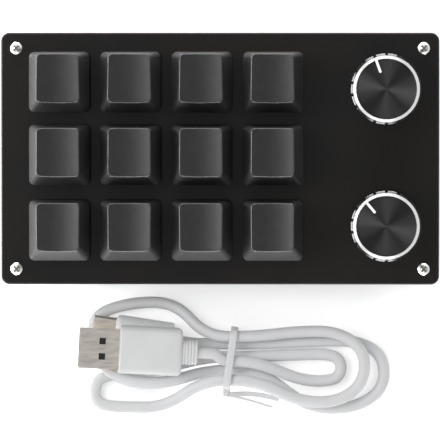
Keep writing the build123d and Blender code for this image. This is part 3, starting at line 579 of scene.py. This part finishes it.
def feet_growth(material, low, high):
    """Round feet at the corners of a rectangle, each with a softly rounded lower edge."""
    sizes = {"Radius": foot_radius, "Height": (high.z - low.z) / mm, "Shoulder": foot_shoulder}
    tree = Growth("rubber_feet", corner_spans(low, high, foot_radius) | sizes)
    foot = drum(tree, side_steps=6, fill_steps=4)
    x, y, z = tree.split(tree.add("GeometryNodeInputPosition"))
    above_foot = tree.math("ADD", z, tree.math("DIVIDE", tree.size("Height"), 2.0))
    share = tree.math("DIVIDE", above_foot, tree.size("Shoulder"))
    fall = tree.math("SUBTRACT", 1.0, tree.math("MINIMUM", share, 1.0))
    reach = tree.math("SQRT", tree.math("SUBTRACT", 1.0, tree.math("MULTIPLY", fall, fall)))
    inset = tree.math("MULTIPLY", tree.math("SUBTRACT", 1.0, reach), tree.size("Shoulder"))
    keep = tree.math("SUBTRACT", 1.0, tree.math("DIVIDE", inset, tree.size("Radius")))
    place = tree.point(tree.math("MULTIPLY", x, keep), tree.math("MULTIPLY", y, keep), z)
    rounded = tree.add("GeometryNodeSetPosition", {"Geometry": foot, "Position": place})
    tree.close(at_corners(tree, rounded), material, (low + high) / 2 / mm)
    return tree


case_plastic = moulded("case_plastic", (0.012, 0.012, 0.0125), 0.5)
dress(case_plastic, "bottom_case")
foot_rubber = moulded("foot_rubber", (0.03, 0.03, 0.03), 0.8, 0.03)
feet = feet_growth(foot_rubber, *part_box("rubber_feet")).grow("feet")
settle(feet, "body", ["rubber_feet"], 40.0)
brass = plated("brass", (0.72, 0.52, 0.25), 0.3)
dress(brass, "threaded_inserts")


# Top plate: one sheet of black gloss plastic, cut out for each switch and encoder. It mirrors the room
# softly, faint warm clouds in its colour are painted reflections of the room, and its bevelled edges are matt
# from the router.
edge_roughness = 0.95
edge_normals = (0.85, 0.98)


def gloss_sheet():
    """Gloss that turns matt as the surface leans: edge_normals is how far up it faces, matt first."""
    finish = Finish("black_gloss_sheet", (0.018, 0.018, 0.0185), 0.1)
    # Warm clouds blended into the base colour: painted reflection of warm patches in the room.
    finish.blend_color(finish.noise(0.03, 2.0), (0.0085, 0.0086, 0.0089), (0.012, 0.0104, 0.009))
    upwards = finish.split(finish.add("ShaderNodeTexCoord", output="Normal"))["Z"]
    edge = finish.ramp(upwards, edge_roughness, 0.0, *edge_normals)
    gloss = finish.ramp(finish.noise(0.05, 4.0), 0.08, 0.16)
    finish.feed(finish.shader["Roughness"], finish.math("MAXIMUM", edge, gloss))
    finish.bump(finish.noise(0.012, 1.0), 0.012)
    return finish.material


dress(gloss_sheet(), "top_plate")


# Plate screws: four small pan heads of bright nickel-plated steel with a cross recess, whose faces are
# coloured darker nickel as painted shade. They hold the plate on the case's corner bosses.
screw_head_radius, screw_head_height, screw_dome, screw_dome_power = 1.75, 1.3, 0.7, 2.2
recess_length, recess_width, recess_depth = 2.2, 0.5, 0.8
recess_arms = (45.0, 135.0)
recess_levels = (-0.49, 0.36)


def screws_growth(head_look, recess_shade_look, low, high):
    """Domed heads with a cross cut into them, at the corners of a rectangle on the plate.

    The recess's faces are those near the axis, between two levels of the head's height about its middle; they
    take the darker look, painted shade.
    """
    tree = Growth("plate_screws", corner_spans(low, high, screw_head_radius) | {
        "Radius": screw_head_radius, "Height": screw_head_height, "Dome": screw_dome,
        "Recess Length": recess_length, "Recess Width": recess_width, "Recess Depth": recess_depth,
    })
    x, y, z = tree.split(tree.add("GeometryNodeInputPosition"))
    reach = tree.math("SQRT", tree.math("ADD", tree.math("MULTIPLY", x, x), tree.math("MULTIPLY", y, y)))
    share = tree.math("DIVIDE", reach, tree.size("Radius"))
    level = tree.math("DIVIDE", z, tree.size("Height"))
    fall = tree.math("MULTIPLY", tree.math("POWER", share, screw_dome_power), tree.size("Dome"))
    lowered = tree.math("SUBTRACT", z, tree.math("MULTIPLY", fall, tree.math("ADD", level, 0.5)))
    doming = {"Geometry": drum(tree, side_steps=3, fill_steps=8), "Position": tree.point(x, y, lowered)}
    head = tree.add("GeometryNodeSetPosition", doming)
    arm_height = tree.math("MULTIPLY", tree.size("Recess Depth"), 2.0)
    arm_size = tree.point(tree.size("Recess Length"), tree.size("Recess Width"), arm_height)
    arm = tree.add("GeometryNodeMeshCube", {"Size": arm_size})
    head_top = tree.point(0.0, 0.0, tree.math("DIVIDE", tree.size("Height"), 2.0))
    for turn in recess_arms:
        feeds = {"Geometry": arm, "Translation": head_top, "Rotation": (0, 0, math.radians(turn))}
        meshes = {"Mesh 1": head, "Mesh 2": tree.add("GeometryNodeTransform", feeds)}
        head = tree.add("GeometryNodeMeshBoolean", meshes, operation="DIFFERENCE", solver="EXACT")
    near_axis = tree.math("LESS_THAN", reach, tree.math("DIVIDE", tree.size("Recess Length"), 2.0))
    above_base = tree.math("GREATER_THAN", level, recess_levels[0])
    sunk = tree.math("LESS_THAN", level, recess_levels[1])
    in_recess = tree.math("MULTIPLY", tree.math("MULTIPLY", near_axis, sunk), above_base)
    marked, is_shaded_recess = tree.mark_faces(head, "recess", in_recess)
    heads = at_corners(tree, tree.paint(marked, head_look))
    middle = (low + high) / 2 / mm
    middle.z = high.z / mm - screw_head_height / 2
    tree.close(heads, recess_shade_look, middle, selection=is_shaded_recess)
    return tree


screw_nickel = plated("screw_nickel", (0.92, 0.91, 0.88), 0.34)
# Darker, duller nickel on the cross recess: painted shade where the recess's walls would shade it.
painted_recess_shade = plated("painted_recess_shade", (0.3, 0.29, 0.27), 0.5)
screw_heads = screws_growth(screw_nickel, painted_recess_shade, *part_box("plate_screws")).grow("screw_heads")
settle(screw_heads, "body", ["plate_screws"], 30.0)


# Board and switches: a black lacquered board under the plate carries the controller, the socket and twelve
# key switches of moulded nylon, each with a grey cross stem, a steel spring, two pins, a light and a diode.
dress(moulded("board_lacquer", (0.01, 0.012, 0.011), 0.35, 0.004), "circuit_board")
dress(moulded("switch_nylon", (0.02, 0.02, 0.021), 0.42), "switch_bases", "switch_covers")
dress(moulded("stem_plastic", (0.1, 0.1, 0.105), 0.35), *[f"key_stem_{k}" for k in range(1, 13)])
dress(plated("spring_steel", (0.55, 0.55, 0.55), 0.35), "return_springs", "encoder_covers", "encoder_domes")
dress(plated("contact_alloy", (0.8, 0.6, 0.4), 0.35), "switch_pins")
dress(moulded("light_resin", (0.75, 0.75, 0.7), 0.25, 0.002), "key_lights")
chip_epoxy = moulded("chip_epoxy", (0.03, 0.03, 0.03), 0.6)
dress(chip_epoxy, "switch_sockets", "diodes", "controller_chip", "usb_socket_tongue", "encoder_bases")


# Keycaps: twelve hollow caps moulded in black plastic with a fine matt texture. Each narrows to a top that is
# dished from side to side, and each row's tops lean back and tilt by their own amounts.
cap_skirt, cap_top_length, cap_top_width, cap_height = 18.1, 12.75, 14.1, 9.4
cap_dish_radius, cap_dish_depth, cap_wall, cap_roof = 24.0, 0.8, 1.5, 1.6
cap_skirt_corner, cap_top_corner, cap_inner_corner, cap_edge, cap_foot_edge = 1.6, 1.35, 0.8, 0.32, 0.25
cap_boss_radius, cap_boss_foot, cap_boss_root, cap_boss_sides = 2.8, 0.9, 0.3, 32
cap_side_steps, cap_flank_steps, cap_edge_steps, cap_top_steps, cap_rim_tries = 12, 6, 5, 12, 4
caps_in_row = 4
cap_row_lean = [1.45, 1.05, 1.27]
cap_row_tilt = [4.0, 1.5, -2.0]


def cap_shape(low_corner, high_corner, lean, tilt):
    """Fills a bmesh with one cap, in the box of the CAD cap that it stands for."""
    middle = cap_height - cap_dish_depth
    slope = math.tan(math.radians(tilt))

    def top_height(x, y):
        return middle + slope * (y - lean) + cap_dish_radius - math.sqrt(cap_dish_radius**2 - x * x)

    def section(share, inset=0.0, corner=None):
        """The tapered block's outline at a share of its full height, drawn in by inset."""
        length = cap_skirt + (cap_top_length - cap_skirt) * share - 2 * inset
        width = cap_skirt + (cap_top_width - cap_skirt) * share - 2 * inset
        outer_corner = cap_skirt_corner + (cap_top_corner - cap_skirt_corner) * share
        outline = rounded_outline(length, width, corner or outer_corner - inset, cap_side_steps)
        return [(x, y + lean * share) for x, y in outline]

    foot_outline, top_outline = section(0.0), section(1.0)

    def flank_point(k, share):
        """A point of the flank at a share of the full height, straight between its foot and its top."""
        x, y = Vector(foot_outline[k]).lerp(Vector(top_outline[k]), share)
        return Vector((x, y, share * cap_height))

    def rim_share(k):
        """The share of the full height at which the dished top cuts the flank."""
        share = middle / cap_height
        for _ in range(cap_rim_tries):
            share = top_height(*flank_point(k, share).xy) / cap_height
        return share

    def edge_point(k, rim, share):
        """A point of the curve that rounds the rim, from the flank at share 0 to the top at share 1."""
        below, corner = flank_point(k, rim - cap_edge / cap_height), flank_point(k, rim)
        offset = Vector((corner.x, corner.y - lean))
        x, y = offset * (1 - cap_edge / offset.length)
        inside = Vector((x, y + lean, top_height(x, y + lean)))
        return below.lerp(corner, share).lerp(corner.lerp(inside, share), share)

    def fill(shape):
        rims = [rim_share(k) for k in range(len(foot_outline))]
        foot_ring = [(x, y, 0.0) for x, y in section(0.0, cap_foot_edge)]
        rings = [foot_ring]
        low = cap_foot_edge / cap_height
        for step in range(cap_flank_steps + 1):
            shares = [low + (rim - cap_edge / cap_height - low) * step / cap_flank_steps for rim in rims]
            rings.append([flank_point(k, share) for k, share in enumerate(shares)])
        for step in range(1, cap_edge_steps + 1):
            rings.append([edge_point(k, rim, step / cap_edge_steps) for k, rim in enumerate(rims)])
        rim_ring = rings[-1]
        for step in range(1, cap_top_steps):
            keep = 1 - step / cap_top_steps
            ring = [(x * keep, lean + (y - lean) * keep) for x, y, z in rim_ring]
            rings.append([(x, y, top_height(x, y)) for x, y in ring])
        centre = (low_corner + high_corner) / 2 / mm
        place = Matrix.Translation((centre.x, centre.y, low_corner.z / mm))
        skin(shape, rings, close_start=False, place=place)
        roof = middle - cap_roof
        hollow = [foot_ring]
        for z in (0.0, roof):
            hollow.append([(x, y, z) for x, y in section(z / cap_height, cap_wall, cap_inner_corner)])
        skin(shape, hollow, close_start=False, place=place)
        turns = [2 * math.pi * k / cap_boss_sides for k in range(cap_boss_sides)]
        boss = [(cap_boss_radius * math.cos(turn), cap_boss_radius * math.sin(turn)) for turn in turns]
        levels = (cap_boss_foot, roof + cap_boss_root)
        skin(shape, [[(x, y, z) for x, y in boss] for z in levels], place=place)

    return fill


cap_plastic = Finish("cap_plastic", (0.0165, 0.0165, 0.0172), 0.4).texture(
    spots=1.2, gloss=(0.9, 1.15), clouds=0.4, shades=(0.88, 1.12), grain=5.0, detail=4.0, height=0.009,
)
number = 0
for lean, tilt in zip(cap_row_lean, cap_row_tilt):
    for _ in range(caps_in_row):
        number += 1
        node = f"keycap_{number}"
        fill_cap = cap_shape(*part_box(node), lean, tilt)
        piece_from(f"cap_{number}", fill_cap, f"key_{number}", cap_plastic, [node], 35.0)


# Knobs: turned from black anodised aluminium and pushed on the encoders' shafts. Upright grooves run round
# the grip, a ring is cut bright above it, and the spun face has a pointer groove that is bright too.
knob_radius, knob_height, ring_radius, face_radius, ring_rise = 10.5, 15.0, 9.85, 9.0, 0.75
knob_bore, knob_bush_room, knob_shaft_bore, knob_shaft_room = 4.2, 5.6, 3.05, 12.6
knob_foot_edge, shoulder_fall, shoulder_edge, ring_edge, ring_land = 0.3, 0.5, 0.03, 0.02, 0.24
face_edge, face_sink, face_rings = 0.12, 0.1, (7.5, 6.0, 4.5, 3.0, 1.5, 0.4, 0.0)
groove_count, groove_depth, groove_width, groove_slope = 18, 0.5, 0.9, 0.22
pointer_width, pointer_start, pointer_depth, pointer_sink, pointer_gap = 0.75, 5.1, 0.3, 0.06, 0.02
pointer_end_steps, knob_steps, edge_slack = 8, 432, 0.05
knob_angles = {"back": 20.0, "front": 40.0}
grip_top = knob_height - ring_rise
shoulder = grip_top - shoulder_fall
knob_profile = [
    (0.0, knob_shaft_room), (knob_shaft_bore, knob_shaft_room), (knob_shaft_bore, knob_bush_room),
    (knob_bore, knob_bush_room), (knob_bore, 0.0), (knob_radius - knob_foot_edge, 0.0),
    (knob_radius, knob_foot_edge), (knob_radius, shoulder),
    (knob_radius - shoulder_edge, shoulder + shoulder_edge),
    (ring_radius + ring_edge, grip_top), (ring_radius, grip_top + ring_land),
    (face_radius, knob_height - ring_edge), (face_radius - face_edge, knob_height - face_sink),
    *[(radius, knob_height - face_sink) for radius in face_rings],
]


def spun_metal(name, axis, color, roughness, cuts, height, spread):
    """Turned metal: fine cuts run round the axis and spread the light outwards from it."""
    finish = Finish(name, color, roughness, metallic=1.0, Anisotropic=spread)
    outwards = finish.vector("MULTIPLY", finish.vector("SUBTRACT", finish.place, axis * mm), (1.0, 1.0, 0.0))
    to_room = {"vector_type": "VECTOR", "convert_from": "OBJECT", "convert_to": "WORLD"}
    unit = {"Vector": finish.vector("NORMALIZE", outwards)}
    finish.feed(finish.shader["Tangent"], finish.add("ShaderNodeVectorTransform", unit, **to_room))
    finish.place = finish.add("ShaderNodeCombineXYZ", {"X": finish.vector("LENGTH", outwards)})
    lines = finish.noise(cuts, 2.0)
    finish.vary_roughness(lines, roughness * 0.85, roughness * 1.2)
    finish.bump(lines, height)
    return finish.material


def knob_growth(place, angle, grip_look, ring_look, face_look):
    """A grid wound round the axis: each column is the profile, and the grip's grooves pull its columns in."""
    tree = Growth("knob", {
        "Steps Around": knob_steps, "Profile Points": len(knob_profile), "Groove Count": groove_count,
        "Groove Depth": groove_depth, "Groove Width": groove_width, "Groove Slope": groove_slope,
        "Radius": knob_radius, "Pointer Angle": angle, "Notch Width": pointer_width,
    })
    rows = tree.size("Profile Points")
    columns = tree.math("ADD", tree.size("Steps Around"), 1.0)
    grid = {"Vertices X": columns, "Vertices Y": rows, "Size X": 1.0, "Size Y": 1.0}
    sheet = tree.add("GeometryNodeMeshGrid", grid)
    position = tree.add("GeometryNodeInputPosition")
    index = tree.add("GeometryNodeInputIndex")
    column = tree.math("FLOOR", tree.math("DIVIDE", tree.math("ADD", index, 0.5), rows))
    row = tree.math("SUBTRACT", index, tree.math("MULTIPLY", column, rows))
    feeds = {"Geometry": tree.given["Geometry"], "Value": position, "Index": row}
    profile = tree.add("GeometryNodeSampleIndex", feeds, data_type="FLOAT_VECTOR", domain="POINT")
    radius, height, _ = tree.split(profile)
    share = tree.math("DIVIDE", column, tree.size("Steps Around"))
    turn = tree.math("MULTIPLY", share, 2 * math.pi)
    within = tree.math("FRACT", tree.math("MULTIPLY", share, tree.size("Groove Count")))
    off = tree.math("ABSOLUTE", tree.math("SUBTRACT", within, 0.5))
    around = tree.math("MULTIPLY", tree.size("Radius"), 2 * math.pi)
    pitch = tree.math("DIVIDE", around, tree.size("Groove Count"))
    half_groove = tree.math("DIVIDE", tree.size("Groove Width"), 2.0)
    inside = tree.math("SUBTRACT", half_groove, tree.math("MULTIPLY", off, pitch))
    slope = tree.math("MAXIMUM", tree.math("DIVIDE", inside, tree.size("Groove Slope")), 0.0)
    cut = tree.math("MULTIPLY", tree.math("MINIMUM", slope, 1.0), tree.size("Groove Depth"))
    drawn = tree.math("MINIMUM", radius, tree.math("SUBTRACT", tree.size("Radius"), cut))
    aside = tree.math("MULTIPLY", tree.math("ABSOLUTE", tree.math("SUBTRACT", turn, math.pi / 2)), radius)
    at_pointer = tree.math("LESS_THAN", aside, tree.math("DIVIDE", tree.size("Notch Width"), 2.0))
    outside_face = tree.math("GREATER_THAN", radius, face_radius - edge_slack)
    above_grip = tree.math("GREATER_THAN", height, grip_top + edge_slack)
    notched = tree.math("MULTIPLY", tree.math("MULTIPLY", at_pointer, outside_face), above_grip)
    lowered = tree.math("SUBTRACT", height, tree.math("MULTIPLY", notched, pointer_depth))
    facing = tree.math("ADD", turn, tree.math("RADIANS", tree.size("Pointer Angle")))
    x = tree.math("MULTIPLY", drawn, tree.math("COSINE", facing))
    y = tree.math("MULTIPLY", drawn, tree.math("SINE", facing))
    wound = tree.add("GeometryNodeSetPosition", {"Geometry": sheet, "Position": tree.point(x, y, lowered)})
    welded = tree.add("GeometryNodeMergeByDistance", {"Geometry": wound, "Distance": weld_distance})
    out = tree.vector("LENGTH", tree.vector("MULTIPLY", position, (1.0, 1.0, 0.0)))
    high = tree.math("GREATER_THAN", tree.split(position)["Z"], grip_top + edge_slack)
    on_face = tree.math("MULTIPLY", high, tree.math("LESS_THAN", out, face_radius - edge_slack))
    ringed = tree.paint(welded, ring_look, high)
    marked, is_cut = tree.mark_faces(tree.paint(ringed, face_look, on_face), "cut_bright", high)
    tree.close(marked, grip_look, place, selection=tree.math("SUBTRACT", 1.0, is_cut))
    return tree


def pointer_shape(place, angle):
    """The pointer: a bright line with a round inner end, let into the face."""
    half, top, outer_end = pointer_width / 2, knob_height - pointer_sink, face_radius - pointer_gap

    def fill(shape):
        turned = Matrix.Translation(place) @ Matrix.Rotation(math.radians(angle), 4, "Z")
        outline = [(half, outer_end), (-half, outer_end)]
        for k in range(pointer_end_steps + 1):
            turn = math.pi * (1 + k / pointer_end_steps)
            outline.append((half * math.cos(turn), pointer_start + half + half * math.sin(turn)))
        skin(shape, [[(x, y, z) for x, y in outline] for z in (top - pointer_depth, top)], place=turned)

    return fill


upright_grain = (1.0, 1.0, 0.1)
knob_grip_look = Finish("knob_anodised", (0.027, 0.027, 0.028), 0.24, metallic=1.0)
knob_grip_look.vary_roughness(knob_grip_look.noise(1.0, 3.0, upright_grain), 0.2, 0.3)
knob_grip_look.bump(knob_grip_look.noise(6.0, 2.0, upright_grain), 0.002)
pointer_cut = moulded("pointer_fill", (0.88, 0.88, 0.87), 0.4, 0.002)
for side, angle in knob_angles.items():
    shaft_low, shaft_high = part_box(f"encoder_shaft_{side}")
    middle = (shaft_low + shaft_high) / 2 / mm
    knob_place = Vector((middle.x, middle.y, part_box(f"knob_{side}")[0].z / mm))
    cut_ring = spun_metal(f"cut_ring_{side}", knob_place, (0.95, 0.95, 0.94), 0.22, 3.0, 0.0004, 0.3)
    spun_face = spun_metal(f"spun_face_{side}", knob_place, (0.058, 0.058, 0.0595), 0.4, 1.6, 0.002, 1.0)
    tree = knob_growth(knob_place, angle, knob_grip_look.material, cut_ring, spun_face)
    knob = tree.grow(f"knob_body_{side}", [(r, z, 0.0) for r, z in knob_profile])
    settle(knob, f"dial_{side}", [f"knob_{side}"], 25.0)
    fill_pointer = pointer_shape(knob_place, angle)
    piece_from(f"pointer_{side}", fill_pointer, f"dial_{side}", pointer_cut)
    dress(plated(f"shaft_alloy_{side}", (0.7, 0.7, 0.7), 0.3, (1.0, 1.0, 0.2)), f"encoder_shaft_{side}")
    dress(moulded(f"wheel_plastic_{side}", (0.6, 0.6, 0.55), 0.4), f"encoder_wheel_{side}")
    dress(plated(f"grub_screw_steel_{side}", (0.5, 0.5, 0.5), 0.35), f"knob_screw_{side}")


# Table and light: a white sheet on the desk, soft boxes low at the left, behind and in front, which leave out
# the cable, one high at the left, and a pale room that darkens overhead, where plate and caps mirror it.
floor_half = 3.0
backdrop_glow = 0.4
room_strength, overhead_strength, overhead_fade = 0.72, 0.22, (0.72, 0.97)
white = (1.0, 1.0, 1.0, 1.0)
soft_boxes = {
    "left_box": {"place": (-1.0, -0.05, 0.12), "size": (1.1, 0.22), "watts": 35.0, "reaches_cable": False},
    "back_box": {"place": (-0.1, 1.0, 0.12), "size": (1.0, 0.22), "watts": 26.0, "reaches_cable": False},
    "front_box": {"place": (-0.1, -1.0, 0.12), "size": (0.7, 0.22), "watts": 18.0, "reaches_cable": False},
    "high_box": {"place": (-0.59, 0.2, 0.9), "size": (0.5, 0.5), "watts": 3.7, "reaches_cable": True},
}


def soft_box(name, place, size, watts, reaches_cable):
    """A soft rectangular lamp that faces the origin, its place and size in metres."""
    light = bpy.data.lights.new(name, "AREA")
    light.shape = "RECTANGLE"
    light.size, light.size_y = size
    light.energy = watts
    lamp = bpy.data.objects.new(name, light)
    lamp.location = place
    lamp.rotation_euler = (-Vector(place)).to_track_quat("-Z", "Y").to_euler()
    if not reaches_cable:
        lamp.light_linking.receiver_collection = cable_pieces
    bpy.context.collection.objects.link(lamp)


floor_sheet = bpy.data.meshes.new("floor")
floor_corners = [(floor_half * x, floor_half * y, 0) for x, y in ((-1, -1), (1, -1), (1, 1), (-1, 1))]
floor_sheet.from_pydata(floor_corners, [], [(0, 1, 2, 3)])
floor_finish = Finish("pale_floor", (0.93, 0.93, 0.935), 0.7, Emission_Color=white)
floor_finish.vary_color(floor_finish.noise(0.01), 0.995, 1.0)
seen = floor_finish.add("ShaderNodeLightPath", output="Is Camera Ray")
glow = floor_finish.math("MULTIPLY", seen, backdrop_glow)
floor_finish.feed(floor_finish.shader["Emission Strength"], glow)
floor_sheet.materials.append(floor_finish.material)
floor = bpy.data.objects.new("floor", floor_sheet)
bpy.context.collection.objects.link(floor)

cable_pieces = bpy.data.collections.new("cord_pieces")
cable_nodes = [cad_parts[node] for node in ("usb_a_shell", "usb_a_tongue", "usb_c_shell")]
for piece in (cord, large_grip, small_grip, neck_rib_row, tie, *cable_nodes):
    cable_pieces.objects.link(piece)
for entry in cable_pieces.collection_objects:
    entry.light_linking.link_state = "EXCLUDE"
for name, settings in soft_boxes.items():
    soft_box(name, **settings)

world = bpy.data.worlds.new("studio")
world.use_nodes = True
bpy.context.scene.world = world
sky = Wiring(world.node_tree)
upwards = sky.split(sky.add("ShaderNodeTexCoord", output="Generated"))["Z"]
fade = sky.ramp(upwards, room_strength, overhead_strength, *overhead_fade, interpolation_type="SMOOTHSTEP")
background = sky.nodes["Background"].inputs
sky.feed(background["Color"], white)
sky.feed(background["Strength"], fade)
